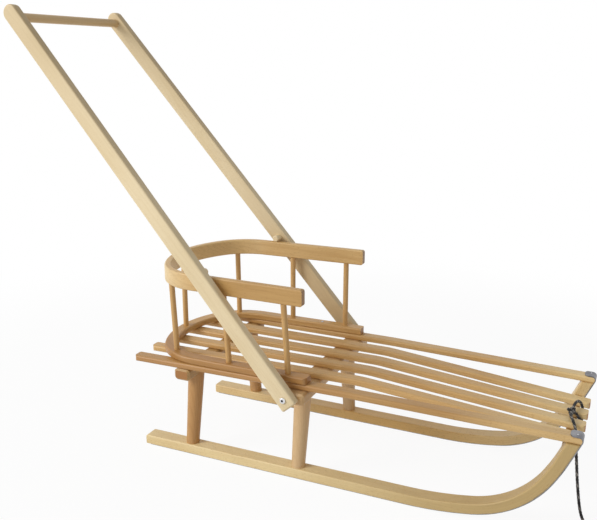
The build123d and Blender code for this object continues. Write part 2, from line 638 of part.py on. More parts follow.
# the coil lies flat, two turns wide and two high, and the strand runs on into its outer turn
lead = (rope_knots[-1] - rope_knots[-2]).normalized()
lead_in = rope_knots[-1] + COIL_LEAD * lead
coil_out_r = COIL_MID_R + ROPE_R
coil_centre = lead_in + coil_out_r * Vector(lead.Y, -lead.X, 0)
tail_angle = math.radians(COIL_TAIL_ANGLE)
tail_start = coil_centre + coil_out_r * Vector(math.cos(tail_angle), math.sin(tail_angle), 0)
tail = Vector(math.sin(tail_angle), -math.cos(tail_angle), 0)
with BuildPart() as coil:
    with BuildSketch(Plane(origin=coil_centre + Vector(0, 0, ROPE_R), x_dir=(1, 0, 0), z_dir=(0, -1, 0))):
        with Locations((COIL_MID_R, 0)):
            turns = Rectangle(4 * ROPE_R, 4 * ROPE_R)
        chamfer(turns.vertices(), ROPE_R * 0.9)
    revolve(axis=Axis(tuple(coil_centre), (0, 0, 1)))
    for origin, direction, length in ((rope_knots[-1], lead, COIL_LEAD), (tail_start, tail, COIL_TAIL)):
        with BuildSketch(Plane(origin=origin, z_dir=direction)):
            Circle(ROPE_R)
        extrude(amount=length)
coil.part.label = "tow_rope_coil"
export_step(coil.part, "parts/tow_rope_coil.step")

end_knot_start = tail_start + (COIL_TAIL - END_KNOT_LENGTH / 3) * tail
end_knot_start.Z = END_KNOT_R + ROPE_REST
with BuildPart() as end_knot:
    with BuildSketch(Plane(origin=end_knot_start, z_dir=tail)):
        Circle(END_KNOT_R)
    extrude(amount=END_KNOT_LENGTH)
    chamfer(end_knot.edges().filter_by(GeomType.CIRCLE), KNOT_EASE)
    add(coil.part, mode=Mode.SUBTRACT)
end_knot.part.label = "tow_rope_end_knot"
export_step(end_knot.part, "parts/tow_rope_end_knot.step")
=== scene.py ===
import math
import bmesh
import bpy
from mathutils import Matrix, Vector


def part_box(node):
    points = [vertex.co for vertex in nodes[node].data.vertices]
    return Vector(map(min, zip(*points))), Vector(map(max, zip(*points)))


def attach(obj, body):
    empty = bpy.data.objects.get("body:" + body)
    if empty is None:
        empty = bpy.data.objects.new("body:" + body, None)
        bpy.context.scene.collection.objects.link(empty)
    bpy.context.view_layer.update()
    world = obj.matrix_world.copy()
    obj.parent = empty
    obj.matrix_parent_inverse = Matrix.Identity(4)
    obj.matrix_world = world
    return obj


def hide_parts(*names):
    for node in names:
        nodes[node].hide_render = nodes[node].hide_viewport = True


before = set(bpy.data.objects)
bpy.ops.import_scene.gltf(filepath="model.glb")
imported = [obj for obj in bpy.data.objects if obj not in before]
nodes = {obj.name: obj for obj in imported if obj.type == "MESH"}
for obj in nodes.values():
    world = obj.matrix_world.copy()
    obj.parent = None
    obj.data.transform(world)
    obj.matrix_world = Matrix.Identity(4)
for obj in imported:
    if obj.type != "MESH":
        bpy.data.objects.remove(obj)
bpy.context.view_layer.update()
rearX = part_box("slat_inner_left")[0][0]  # where the seat slats begin


def at(x, y, z):
    # stations run forward from the rear ends of the seat slats, in metres
    return Vector((rearX + x, y, z))


def corners(name):
    return [Vector(corner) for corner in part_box(name)]


def middle(name):
    low, high = corners(name)
    return (low + high) / 2


def placed(name, data):
    made = bpy.data.objects.new(name, data)
    bpy.context.scene.collection.objects.link(made)
    return made


# camera
cameraLook = {
    "place": (0.96949, -1.43937, 0.83514),
    "tilt": 75.27,
    "turn": 24.58,
    "lens": 46.18,
    "sensor": 36.0,
}
cameraData = bpy.data.cameras.new("camera")
cameraData.lens = cameraLook["lens"]
cameraData.sensor_width = cameraLook["sensor"]
cameraData.sensor_fit = "HORIZONTAL"
camera = placed("camera", cameraData)
camera.location = at(*cameraLook["place"])
camera.rotation_euler = (math.radians(cameraLook["tilt"]), 0, math.radians(cameraLook["turn"]))
bpy.context.scene.camera = camera
print("camera placed")


# shader building
class Wire:
    # a socket that takes part in Python sums; each operator adds one Math node
    def __init__(self, shader, socket):
        self.shader = shader
        self.socket = socket

    def math(self, operation, *others):
        return self.shader.sum(operation, self, *others)

    def __add__(self, other):
        return self.math("ADD", other)

    __radd__ = __add__

    def __sub__(self, other):
        return self.math("SUBTRACT", other)

    def __rsub__(self, other):
        return self.shader.sum("SUBTRACT", other, self)

    def __mul__(self, other):
        return self.math("MULTIPLY", other)

    __rmul__ = __mul__

    def __truediv__(self, other):
        return self.math("DIVIDE", other)

    def __rtruediv__(self, other):
        return self.shader.sum("DIVIDE", other, self)

    def __pow__(self, other):
        return self.math("POWER", other)

    def __lt__(self, other):
        return self.math("LESS_THAN", other)

    def __gt__(self, other):
        return self.math("GREATER_THAN", other)

    def clamped(self):
        return self.shader.node("Clamp", {}, self, 0.0, 1.0)["Result"]

    def ramp(self, low, high):
        # a smooth step, 0 at low and below, 1 at high and above
        settings = {"interpolation_type": "SMOOTHSTEP"}
        return self.shader.node("MapRange", settings, self, low, high, 0.0, 1.0)["Result"]


class Shader:
    # the node tree of a material or of the world
    def __init__(self, owner):
        self.owner = owner
        owner.use_nodes = True
        self.tree = owner.node_tree
        self.tree.nodes.clear()

    def node(self, kind, settings, *values, **named):
        # settings first, then the sockets that show, in their order or by name
        made = self.tree.nodes.new("ShaderNode" + kind)
        for key, value in settings.items():
            setattr(made, key, value)
        shown = [socket for socket in made.inputs if socket.enabled]
        byName = {socket.name.replace(" ", ""): socket for socket in reversed(shown)}
        for socket, value in zip(shown, values):
            self.feed(socket, value)
        for key, value in named.items():
            self.feed(byName[key], value)
        return {socket.name: Wire(self, socket) for socket in made.outputs if socket.enabled}

    def feed(self, socket, value):
        if isinstance(value, Wire):
            self.tree.links.new(value.socket, socket)
        else:
            socket.default_value = value

    def sum(self, operation, *values):
        return self.node("Math", {"operation": operation}, *values)["Value"]

    def place(self):
        # the piece's own coordinates, split in three
        split = self.node("SeparateXYZ", {}, self.node("TexCoord", {})["Object"])
        return split["X"], split["Y"], split["Z"]

    def station(self):
        return self.place()[0] - rearX

    def facing(self, direction):
        # how squarely a surface faces along a direction, from -1 to 1
        turned = self.node("TexCoord", {})["Normal"]
        way = Vector(direction).normalized()
        return self.node("VectorMath", {"operation": "DOT_PRODUCT"}, turned, way)["Value"]

    def noise(self, x, y, z, detail=2.0, rough=0.5):
        joined = self.node("CombineXYZ", {}, x, y, z)["Vector"]
        settings = {"noise_dimensions": "3D"}
        cloud = {"Scale": 1.0, "Detail": detail, "Roughness": rough, "Distortion": 0.0}
        made = self.node("TexNoise", settings, Vector=joined, **cloud)
        return made.get("Fac") or made["Factor"]

    def evenNoise(self, cells, detail):
        # noise with the same number of cells per metre every way
        return self.noise(*[way * cells for way in self.place()], detail=detail)

    def mix(self, share, first, second):
        return self.node("Mix", {"data_type": "RGBA", "blend_type": "MIX"}, share, first, second)["Result"]

    def bump(self, strength, distance, height):
        return self.node("Bump", {}, Strength=strength, Distance=distance, Height=height)["Normal"]

    def surface(self, **sockets):
        made = self.node("BsdfPrincipled", {}, **sockets)
        self.node("OutputMaterial", {}, made["BSDF"])
        return self.owner


displayGamma = 2.2
redTint = (1.05, 0.86, 0.74)


def colour(red, green, blue):
    # display values from 0 to 255, as the linear colour that a node takes
    return tuple((value / 255) ** displayGamma for value in (red, green, blue)) + (1.0,)


def reddened(base):
    return tuple(channel * tint for channel, tint in zip(base, redTint)) + (1.0,)


def scaled(base, factor):
    return tuple(channel * factor for channel in base[:3]) + (1.0,)


def dress(material, *names):
    for name in names:
        for slot in nodes[name].material_slots:
            slot.material = material


# rope, along the route that the solids take
ropeLook = {
    "radius": 0.0032,
    "length": 1.055,
    "strands": 4,  # in each direction round the core
    "strandRadius": 0.00108,
    "weaveRadius": 0.00172,
    "weaveLift": 0.00042,  # how far a strand rises and dips where it crosses the others
    "pitch": 0.023,  # rope length of a strand's full turn
    "step": 0.0021,
    "core": 0.0019,
    "lightLanes": (0, 6),  # one strand each way is grey
}
ropeFinish = {
    "tones": [
        {"name": "rope black", "base": (13, 12, 13), "light": (44, 42, 43), "darkShare": 0.42},
        {"name": "rope grey fleck", "base": (92, 88, 84), "light": (158, 152, 144), "darkShare": 0.36},
    ],
    "fibres": 2600,  # noise cells per metre
    "patches": 60,
    "fibreShare": 0.7,
    "patchShare": 0.5,
    "contrast": 0.45,
    "rough": 0.78,
    "sheen": 0.25,
    "bump": 0.35,
    "bumpHeight": 0.0002,
}
ropeRoute = [
    (0.8860, -0.0040, 0.1832),
    (0.8860, -0.0220, 0.1832),
    (0.8925, -0.0410, 0.1830),
    (0.9005, -0.0580, 0.1715),
    (0.9020, -0.0605, 0.1470),
    (0.9065, -0.0605, 0.1120),
    (0.9110, -0.0608, 0.0730),
    (0.9168, -0.0610, 0.0350),
    (0.9220, -0.0660, 0.0125),
    (0.9290, -0.0800, 0.0040),
    (0.9390, -0.0980, 0.0034),
    (0.9495, -0.1135, 0.0034),
]
loopRoute = [
    (0.8870, 0.0065, 0.1830),
    (0.8885, 0.0220, 0.1895),
    (0.8935, 0.0370, 0.1905),
    (0.8995, 0.0475, 0.1825),
    (0.9040, 0.0495, 0.1665),
    (0.9045, 0.0390, 0.1586),
    (0.9040, 0.0150, 0.1586),
    (0.9010, 0.0065, 0.1670),
    (0.8930, 0.0050, 0.1785),
]
coilLook = {
    "outer": 0.0382,
    "inner": 0.0318,
    "low": 0.0034,
    "high": 0.0098,
    "lead": 0.024,
    "perTurn": 16,
    "wholeTurns": 3,
    "movesIn": (0.76, 1.0),  # the turns over which it changes place
    "climbs": (1.52, 1.8),
    "movesOut": (2.5, 2.76),
    "tailAngle": -85.0,
    "tail": 0.040,
    "tailLow": 0.0064,
    "tailShares": (0.3, 0.6, 0.85, 1.0),
    "tailDown": (0.0, 0.9),
}
knotLook = {
    "share": (0.31, 0.31, 0.60),  # of the knot solid's sizes
    "lean": (20, 35),
    "squeeze": 1.12,
}
endKnotLook = {
    "size": (0.0042, 0.0042, 0.0042),
    "lean": (10, 90),
    "squeeze": 0.85,
}
overhandLook = {
    "points": 48,
    "spread": 3.0,
    "flatness": 2.2,
}


def stepped(value, span):
    low, high = span
    share = min(max((value - low) / (high - low), 0.0), 1.0)
    return share * share * (3 - 2 * share)


def between(first, second, share):
    return first + (second - first) * share


def coilPoints(entry, heading):
    # clockwise turns: out then in along the floor, and in then out on top of them
    centre = entry + coilLook["outer"] * Vector((heading.y, -heading.x, 0))
    start = math.atan2(entry.y - centre.y, entry.x - centre.x)
    turns = coilLook["wholeTurns"] + (start - math.radians(coilLook["tailAngle"])) / math.tau
    count = int(turns * coilLook["perTurn"])
    points = []
    for index in range(1, count + 1):
        turn = turns * index / count
        inward = stepped(turn, coilLook["movesIn"]) - stepped(turn, coilLook["movesOut"])
        radius = between(coilLook["outer"], coilLook["inner"], inward)
        height = between(coilLook["low"], coilLook["high"], stepped(turn, coilLook["climbs"]))
        angle = start - turn * math.tau
        x = centre.x + radius * math.cos(angle)
        y = centre.y + radius * math.sin(angle)
        points.append(Vector((x, y, height)))
    away = Vector((math.sin(angle), -math.cos(angle), 0))
    for share in coilLook["tailShares"]:
        point = points[count - 1] + away * coilLook["tail"] * share
        point.z = between(coilLook["high"], coilLook["tailLow"], stepped(share, coilLook["tailDown"]))
        points.append(point)
    return points


def curveMesh(curve):
    # the curve as Blender lays it out; the curve itself goes
    holder = placed(curve.name + "Lay", curve)
    mesh = bpy.data.meshes.new_from_object(holder)
    bpy.data.objects.remove(holder)
    bpy.data.curves.remove(curve)
    return mesh


def routeLine(points):
    # one smooth spline with the route's points as its control points, read back as places along it
    curve = bpy.data.curves.new("route", "CURVE")
    curve.dimensions = "3D"
    curve.resolution_u = 10
    spline = curve.splines.new("NURBS")
    spline.points.add(len(points) - 1)
    for controlPoint, point in zip(spline.points, points):
        controlPoint.co = (point.x, point.y, point.z, 1.0)
    spline.order_u = 3
    spline.use_endpoint_u = True
    read = curveMesh(curve)
    line = [vertex.co.copy() for vertex in read.vertices]
    bpy.data.meshes.remove(read)
    return line


def evenly(line):
    # the same line in even steps
    spans = [(after - before).length for before, after in zip(line, line[1:])]
    total = sum(spans)
    count = max(int(total / ropeLook["step"]), 2)
    places = []
    reached, index = 0.0, 0
    for number in range(count + 1):
        wanted = total * number / count
        while index < len(spans) - 1 and reached + spans[index] < wanted:
            reached += spans[index]
            index += 1
        share = (wanted - reached) / spans[index] if spans[index] else 0.0
        places.append(line[index].lerp(line[index + 1], min(max(share, 0.0), 1.0)))
    return places


def braid(name, places, squeeze=1.0):
    # a core and crossing strands through evenly stepped places, joined in one mesh
    across = Vector((0, 0, 1)).cross(places[1] - places[0]).normalized()
    curve = bpy.data.curves.new(name, "CURVE")
    curve.dimensions = "3D"
    curve.bevel_depth = 1.0
    curve.bevel_resolution = 1
    curve.use_fill_caps = True
    for material in ropeMaterials:
        curve.materials.append(material)
    strands = ropeLook["strands"]
    lanes = [(direction, number) for direction in (1, -1) for number in range(strands)]
    splines = [curve.splines.new("POLY") for number in range(len(lanes) + 1)]  # the core is the last
    for spline in splines:
        spline.points.add(len(places) - 1)
    walked = 0.0
    for index, place in enumerate(places):
        ahead = places[min(index + 1, len(places) - 1)] - places[max(index - 1, 0)]
        ahead.normalize()
        across = (across - ahead * across.dot(ahead)).normalized()
        upright = ahead.cross(across)
        if index:
            walked += (place - places[index - 1]).length
        for spline, (direction, number) in zip(splines, lanes):
            angle = direction * math.tau * walked / ropeLook["pitch"] + math.tau * number / strands
            lift = ropeLook["weaveLift"] * math.cos(strands * angle) * direction
            radius = (ropeLook["weaveRadius"] + lift) * squeeze
            point = place + across * radius * math.cos(angle) + upright * radius * math.sin(angle)
            spline.points[index].co = (point.x, point.y, point.z, 1.0)
            spline.points[index].radius = ropeLook["strandRadius"] * squeeze
        splines[-1].points[index].co = (place.x, place.y, place.z, 1.0)
        splines[-1].points[index].radius = ropeLook["core"] * squeeze
    mesh = curveMesh(curve)
    facesPerLane = len(mesh.polygons) // len(splines)
    for face in mesh.polygons:
        face.use_smooth = True
        face.material_index = 1 if face.index // facesPerLane in ropeLook["lightLanes"] else 0
    piece = placed(name, mesh)
    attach(piece, "sled")
    return piece


def overhand(centre, size, lean):
    # a closed trefoil line, drawn tight
    spread, flatness = overhandLook["spread"], overhandLook["flatness"]
    points = []
    for index in range(overhandLook["points"]):
        angle = math.tau * index / overhandLook["points"]
        x = (math.sin(angle) + 2 * math.sin(2 * angle)) / spread
        y = (math.cos(angle) - 2 * math.cos(2 * angle)) / spread
        z = -math.sin(3 * angle) / flatness
        points.append(Vector((x * size[0], y * size[1], z * size[2])))
    points.append(points[0].copy())
    turned = Matrix.Rotation(math.radians(lean[0]), 3, "Z") @ Matrix.Rotation(math.radians(lean[1]), 3, "X")
    return [centre + turned @ point for point in points]


def ropeMaterial(name, base, light, darkShare):
    look = ropeFinish
    shader = Shader(bpy.data.materials.new(name))
    fibre = shader.evenNoise(look["fibres"], detail=2)
    patch = shader.evenNoise(look["patches"], detail=1)
    share = (fibre * look["fibreShare"] + patch * look["patchShare"] - darkShare).ramp(0.0, look["contrast"])
    return shader.surface(
        BaseColor=shader.mix(share, colour(*base), colour(*light)),
        Roughness=look["rough"],
        Normal=shader.bump(look["bump"], look["bumpHeight"], fibre),
        SheenWeight=look["sheen"],
    )


ropeMaterials = [ropeMaterial(**tone) for tone in ropeFinish["tones"]]

route = [at(*point) for point in ropeRoute]
heading = (route[-1] - route[-2]).normalized()
lead = heading * coilLook["lead"]
entry = route[-1] + lead
turns = coilPoints(Vector((entry.x, entry.y, route[-1].z)), heading)
ropePlaces = evenly(routeLine(route + [route[-1] + lead / 2, entry] + turns))
towRope = braid("towRope", ropePlaces)
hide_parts("tow_rope", "tow_rope_coil")

loopPlaces = evenly(routeLine([at(*point) for point in loopRoute]))
ropeLoop = braid("towRopeLoop", loopPlaces)
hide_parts("tow_rope_loop")

knotLow, knotHigh = corners("tow_rope_knot")
knotSize = [(high - low) * share for low, high, share in zip(knotLow, knotHigh, knotLook["share"])]
knotLine = overhand(middle("tow_rope_knot"), knotSize, knotLook["lean"])
ropeKnot = braid("towRopeKnot", evenly(knotLine), squeeze=knotLook["squeeze"])
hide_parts("tow_rope_knot")

endLine = overhand(middle("tow_rope_end_knot"), endKnotLook["size"], endKnotLook["lean"])
endKnot = braid("towRopeEndKnot", evenly(endLine), squeeze=endKnotLook["squeeze"])
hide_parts("tow_rope_end_knot")
ropeLength = sum((after - before).length for before, after in zip(ropePlaces, ropePlaces[1:]))
print("rope line is", round(ropeLength, 3), "m long")
print("rope laid")

# wood: clear-finished beech, with soft growth bands, fine streaks, short ray flecks and a little unevenness
woodLook = {
    "light": 1.0,
    "flecks": 0.5,
    "figure": 0.5,
    "offset": 0.0,
    "rough": 0.46,
    "endShade": 0.5,
    "coat": 0.12,
    "coatRough": 0.35,
    "ringSpacing": 0.0052,
    "ringTilt": 0.35,
    "ringWander": 4.4,
    "bump": 0.16,
    "bumpHeight": 0.0004,
}
# noise cells per metre along and across the grain, and where a mark starts and is full
grainLook = {
    "broad": {"cells": (2.4, 22), "detail": 2},
    "streaks": {"cells": (9, 420), "detail": 3, "rough": 0.6, "edges": (0.35, 0.75), "share": 0.42},
    "threads": {"cells": (40, 1500), "edges": (0.55, 0.8), "share": 0.16, "shade": 0.75},
    "rays": {"cells": (210, 900), "edges": (0.63, 0.72), "share": 0.6, "shade": 0.66},
    "blotches": {"cells": (7, 30), "edges": (0.3, 0.75), "share": 0.34},
    "marks": {"cells": (34, 190), "edges": (0.80, 0.86), "share": 0.55, "shade": 0.5},
    "pores": {"cells": (1400, 1400)},
    "bands": {"share": 0.34, "sharpness": 3.0},
    "driftShade": 0.78,
    "cutEdges": (0.72, 0.9),
    "poreShare": 0.4,
    "cutShare": 0.72,
    "streakGloss": 0.10,
    "blotchGloss": 0.06,
    "glossDrop": 0.08,
}
lengthways = (1.0, 0.0, 0.0)
crossways = (0.0, 1.0, 0.0)
upright = (0.0, 0.0, 1.0)


def straight(direction):
    # straight grain along a direction, with its two cross directions
    forward = Vector(direction).normalized()
    side = forward.orthogonal().normalized()

    def grain(shader):
        x, y, z = shader.place()
        return [x * way.x + y * way.y + z * way.z for way in (forward, side, forward.cross(side))]

    return grain


def noseGrain(shader):
    # straight along the sole, then round the nose about the bend's centre
    centreX, centreZ = runnerLook["noseCentre"]
    x, y, z = shader.place()
    past = x > rearX + centreX
    drop = centreZ - z
    ahead = x - (rearX + centreX)
    reach = (ahead * ahead + drop * drop) ** 0.5
    swept = ahead.math("ARCTAN2", drop) * centreZ
    along = past * swept + (1 - past) * ahead
    depth = past * reach + (1 - past) * drop
    return [along, depth, y]


def hoopGrain(radius):
    # round the back as an arc and along both arms
    cornerX = rearX + hoopLook["corner"]

    def grain(shader):
        x, y, z = shader.place()
        behind = x < cornerX
        back = cornerX - x
        reach = (back * back + y * y) ** 0.5
        swept = (back.math("ARCTAN2", y) - math.pi / 2) * radius
        arm = y.math("SIGN") * (back - math.pi / 2 * radius)
        along = behind * swept + (1 - behind) * arm
        width = behind * reach + (1 - behind) * y.math("ABSOLUTE")
        return [along, width, z]

    return grain


def wood(name, grainOf, pieceLook, ends=None, drift=None):
    # drift gives shares of the surface that go towards another tone; ends gives where the wood is cut across
    look = {**woodLook, **pieceLook}
    shader = Shader(bpy.data.materials.new(name))
    along, width, depth = grainOf(shader)
    offset = look["offset"]
    pale = scaled(colour(*look["pale"]), look["light"])
    dark = scaled(colour(*look["dark"]), look["light"])

    def grained(key, alongShift=offset, depthShift=0.0):
        row = grainLook[key]
        stretch, cells = row["cells"]
        place = (along * stretch + alongShift, width * cells, depth * cells + depthShift)
        return shader.noise(*place, detail=row.get("detail", 1), rough=row.get("rough", 0.5))

    def shareOf(key, noise):
        return noise.ramp(*grainLook[key]["edges"])

    broad = grained("broad")
    turns = (width + depth * look["ringTilt"]) / look["ringSpacing"] + broad * look["ringWander"] + offset
    rings = (turns * math.tau).math("SINE") * 0.5 + 0.5
    bands = rings ** grainLook["bands"]["sharpness"] * (grainLook["bands"]["share"] * look["figure"])
    streaks = grained("streaks")
    threads = grained("threads", alongShift=0.0, depthShift=offset)
    ray = shareOf("rays", grained("rays"))
    blotches = grained("blotches", depthShift=offset)
    marks = grained("marks", depthShift=offset)
    streaked = shareOf("streaks", streaks) * (grainLook["streaks"]["share"] * look["figure"])
    shade = (bands + streaked + shareOf("blotches", blotches) * grainLook["blotches"]["share"]).clamped()
    tone = shader.mix(shade, pale, dark)
    for share, goal in drift(shader) if drift else []:
        towards = colour(*goal)
        tone = shader.mix(share, tone, shader.mix(shade, towards, scaled(towards, grainLook["driftShade"])))
    flecks = ray * (look["flecks"] * grainLook["rays"]["share"])
    tone = shader.mix(flecks, tone, scaled(reddened(dark), grainLook["rays"]["shade"]))
    fine = shareOf("threads", threads) * grainLook["threads"]["share"]
    tone = shader.mix(fine, tone, scaled(dark, grainLook["threads"]["shade"]))
    spots = shareOf("marks", marks) * grainLook["marks"]["share"]
    tone = shader.mix(spots, tone, scaled(reddened(dark), grainLook["marks"]["shade"]))
    if ends:
        pores = grained("pores", alongShift=0.0)
        cut = ends(shader).ramp(*grainLook["cutEdges"])
        cut = cut * (pores * grainLook["poreShare"] + grainLook["cutShare"]).clamped()
        tone = shader.mix(cut, tone, scaled(reddened(dark), look["endShade"]))
    gloss = streaks * grainLook["streakGloss"] + blotches * grainLook["blotchGloss"]
    return shader.surface(
        BaseColor=tone,
        Roughness=gloss + (look["rough"] - grainLook["glossDrop"]),
        Normal=shader.bump(look["bump"], look["bumpHeight"], (threads + streaks - ray) * 0.5),
        CoatWeight=look["coat"],
        CoatRoughness=look["coatRough"],
    )


def bothEnds(direction):
    return lambda shader: shader.facing(direction).math("ABSOLUTE")


# seat slats
slatLook = {
    "pale": (212, 172, 112),
    "dark": (182, 132, 70),
    "flecks": 0.7,
    "figure": 0.55,
    "endShade": 1.1,
}
slatRows = [
    {"node": "slat_outer_left", "light": 1.00, "offset": 1.3},
    {"node": "slat_mid_left", "light": 0.99, "offset": 4.1},
    {"node": "slat_inner_left", "light": 1.03, "offset": 7.7},
    {"node": "slat_inner_right", "light": 1.00, "offset": 11.2},
    {"node": "slat_mid_right", "light": 1.02, "offset": 15.9},
    {"node": "slat_outer_right", "light": 0.96, "offset": 19.4},
]
slatDrift = {
    "tips": (0.68, 0.90),  # stations over which the tips turn paler
    "tipTone": (237, 205, 146),
    "right": {
        "tips": (0.66, 0.86),
        "tipShare": 0.7,
        "tipTone": (229, 194, 134),
        "bodyShare": 0.42,
        "bodyTone": (170, 122, 64),
        "sideFacing": (0.3, 0.8),
        "sideRear": (0.30, 0.62),
        "sideShare": 0.5,
        "sideTone": (190, 136, 84),
    },
}


def paleTips(shader):
    return [(shader.station().ramp(*slatDrift["tips"]), slatDrift["tipTone"])]


def redRear(shader):
    # redder on its side, and a little darker all over up to the tip
    look = slatDrift["right"]
    side = shader.facing((0, -1, 0)).ramp(*look["sideFacing"])
    rear = 1 - shader.station().ramp(*look["sideRear"])
    front = shader.station().ramp(*look["tips"])
    return [
        ((1 - front) * look["bodyShare"], look["bodyTone"]),
        (side * rear * look["sideShare"], look["sideTone"]),
        (front * look["tipShare"], look["tipTone"]),
    ]


for row in slatRows:
    drift = redRear if row["node"] == "slat_outer_right" else paleTips
    name = "slat wood " + row["node"][5:].replace("_", " ")
    slatWood = wood(name, straight(lengthways), {**slatLook, **row}, ends=bothEnds(lengthways), drift=drift)
    dress(slatWood, row["node"])

# runners
runnerLook = {
    "noseCentre": (0.7002, 0.2133),  # station and height of the centre of the nose bend
    "soleEnd": 0.10,  # end grain shows behind this station
    "forward": (0.30, 0.80),
    "forwardTone": (199, 170, 114),
    "warmPlace": 0.47,
    "warmReach": (0.05, 0.36),
    "warmTone": (233, 192, 122),
    "flecks": 1.0,
    "figure": 0.45,
    "endShade": 0.85,
}


def soleEnd(shader):
    # a runner's rear end, and not the inner face of its nose
    return shader.facing(lengthways) * (shader.station() < runnerLook["soleEnd"]) * -1


def deeperForward(shader):
    return [(shader.station().ramp(*runnerLook["forward"]), runnerLook["forwardTone"])]


def warmMiddle(shader):
    off = (shader.station() - runnerLook["warmPlace"]).math("ABSOLUTE")
    return [(1 - off.ramp(*runnerLook["warmReach"]), runnerLook["warmTone"])]


runnerRows = [
    {
        "side": "right",
        "pale": (238, 215, 163),
        "dark": (214, 182, 125),
        "drift": deeperForward,
        "offset": 0.0,
    },
    {
        "side": "left",
        "pale": (232, 205, 150),
        "dark": (206, 170, 114),
        "drift": warmMiddle,
        "offset": 6.4,
    },
]
for row in runnerRows:
    name = "runner " + row["side"] + " wood"
    runnerWood = wood(name, noseGrain, {**runnerLook, **row}, ends=soleEnd, drift=row["drift"])
    dress(runnerWood, "runner_" + row["side"])

# backrest
hoopLook = {
    "corner": 0.147,  # station where the arms turn into the back
    "armEnds": 0.20,  # end grain shows ahead of this station
    "nearSide": (-0.05, 0.10),
}
topHoopLook = {
    "radius": 0.157,
    "pale": (217, 180, 121),
    "dark": (189, 145, 84),
    "flecks": 0.8,
    "figure": 0.7,
    "offset": 3.0,
    # painted light: paler on the outward faces of the back bend
    "outward": (-0.1, 0.5),
    "bend": (0.03, 0.20),
    "bendTone": (236, 208, 156),
    # darker and redder on the near arm
    "arm": (0.14, 0.24),
    "armShare": 0.6,
    "armTone": (189, 143, 79),
    # painted light: paler on the inner faces of the back bend
    "inward": (0.1, 0.6),
    "inside": (0.10, 0.16),
    "insideShare": 0.7,
    "insideTone": (240, 204, 142),
}
lowHoopLook = {
    "radius": 0.150,
    "pale": (214, 172, 112),
    "dark": (184, 138, 78),
    "flecks": 0.6,
    "figure": 0.9,
    "offset": 9.0,
    "endShade": 0.7,
    "nearShare": 0.8,
    "nearTone": (170, 120, 64),
}
spindleLook = {
    "pale": (214, 172, 112),
    "dark": (184, 138, 78),
    "figure": 0.7,
    "offset": 5.0,
}


def armEnds(shader):
    # the hoops' front ends, and not the back's inner face
    return shader.facing(lengthways) * (shader.station() > hoopLook["armEnds"])


def nearSide(shader):
    x, y, z = shader.place()
    return (y * -1).ramp(*hoopLook["nearSide"])


# painted light on the back bend, outside and inside, and a darker, redder near arm
def paintedLightAndNearArm(shader):
    look = topHoopLook
    outward = shader.facing((-1, -0.7, 0)).ramp(*look["outward"])
    bend = 1 - shader.station().ramp(*look["bend"])
    arm = nearSide(shader) * shader.station().ramp(*look["arm"])
    inside = shader.facing(lengthways).ramp(*look["inward"]) * (1 - shader.station().ramp(*look["inside"]))
    return [
        (bend * outward, look["bendTone"]),
        (arm * look["armShare"], look["armTone"]),
        (inside * look["insideShare"], look["insideTone"]),
    ]


def redNearArm(shader):
    return [(nearSide(shader) * lowHoopLook["nearShare"], lowHoopLook["nearTone"])]


topGrain = hoopGrain(topHoopLook["radius"])
lowGrain = hoopGrain(lowHoopLook["radius"])
dress(wood("top rail wood", topGrain, topHoopLook, ends=armEnds, drift=paintedLightAndNearArm), "back_upper_hoop")
dress(wood("lower rail wood", lowGrain, lowHoopLook, ends=armEnds, drift=redNearArm), "back_lower_hoop")
spindles = [name for name in nodes if name.startswith("spindle_")]
dress(wood("spindle wood", straight(upright), spindleLook), *spindles)

# crossbars and legs
barLook = {
    "pale": (190, 154, 100),
    "dark": (162, 120, 68),
    "flecks": 0.6,
    "figure": 0.8,
    "offset": 2.0,
    "endShade": 1.0,
}
midBarLook = {
    "pale": (212, 176, 126),
    "dark": (188, 147, 97),
    "flecks": 0.4,
    "offset": 16.0,
}
rearLegLook = {
    "pale": (196, 150, 94),
    "dark": (170, 118, 64),
    "figure": 0.6,
    "offset": 6.0,
}
midLegLook = {
    "pale": (216, 182, 136),
    "dark": (190, 152, 104),
    "flecks": 0.4,
    "offset": 12.0,
}
barWood = wood("crossbar wood", straight(crossways), barLook, ends=bothEnds(crossways))
dress(barWood, "crossbar_rear", "crossbar_front")
dress(wood("middle crossbar wood", straight(crossways), midBarLook), "crossbar_mid")
dress(wood("rear leg wood", straight(upright), rearLegLook), "leg_rear_left", "leg_rear_right")
dress(wood("middle leg wood", straight(upright), midLegLook), "leg_mid_left", "leg_mid_right")

# push handle
poleLook = {
    "pale": (236, 216, 176),
    "dark": (215, 190, 142),
    "flecks": 0.35,
    "figure": 0.35,
    "rough": 0.55,
    "endShade": 0.8,
    "top": (0.55, 0.95),  # heights over which painted shade darkens the pole
    "topShare": 0.5,
    "edge": (0.5, 0.9),
    "edgeHeight": (0.30, 0.75),
    "edgeShare": 0.4,
    "foot": (0.25, 0.55),
    # the tone of the painted shade
    "tone": (190, 164, 120),
}
poleRows = [
    {"side": "left", "offset": 2.5, "footShare": 0.6},
    {"side": "right", "offset": 8.5, "footShare": 0.0},
]
gripLook = {
    "pale": (212, 180, 130),
    "dark": (190, 154, 104),
    "flecks": 0.4,
    "offset": 4.0,
    "rough": 0.5,
}
pegLook = {
    "pale": (246, 226, 184),
    "dark": (226, 198, 150),
    "flecks": 0.4,
    "offset": 14.0,
    "rough": 0.5,
}
boltCentre = middle("pivot_bolt_right")
gripCentre = middle("handle_grip")
poleWay = (gripCentre.x - boltCentre.x, 0, gripCentre.z - boltCentre.z)


def paintedPoleShade(footShare):
    # painted shade: darker towards the top and on the front edge, and near the seat by the given foot share
    def drift(shader):
        x, y, z = shader.place()
        edge = shader.facing((-poleWay[2], 0, poleWay[0])).math("ABSOLUTE").ramp(*poleLook["edge"])
        edge = edge * z.ramp(*poleLook["edgeHeight"]) * poleLook["edgeShare"]
        foot = (1 - z.ramp(*poleLook["foot"])) * footShare
        share = z.ramp(*poleLook["top"]) * poleLook["topShare"] + edge + foot
        return [(share.clamped(), poleLook["tone"])]

    return drift


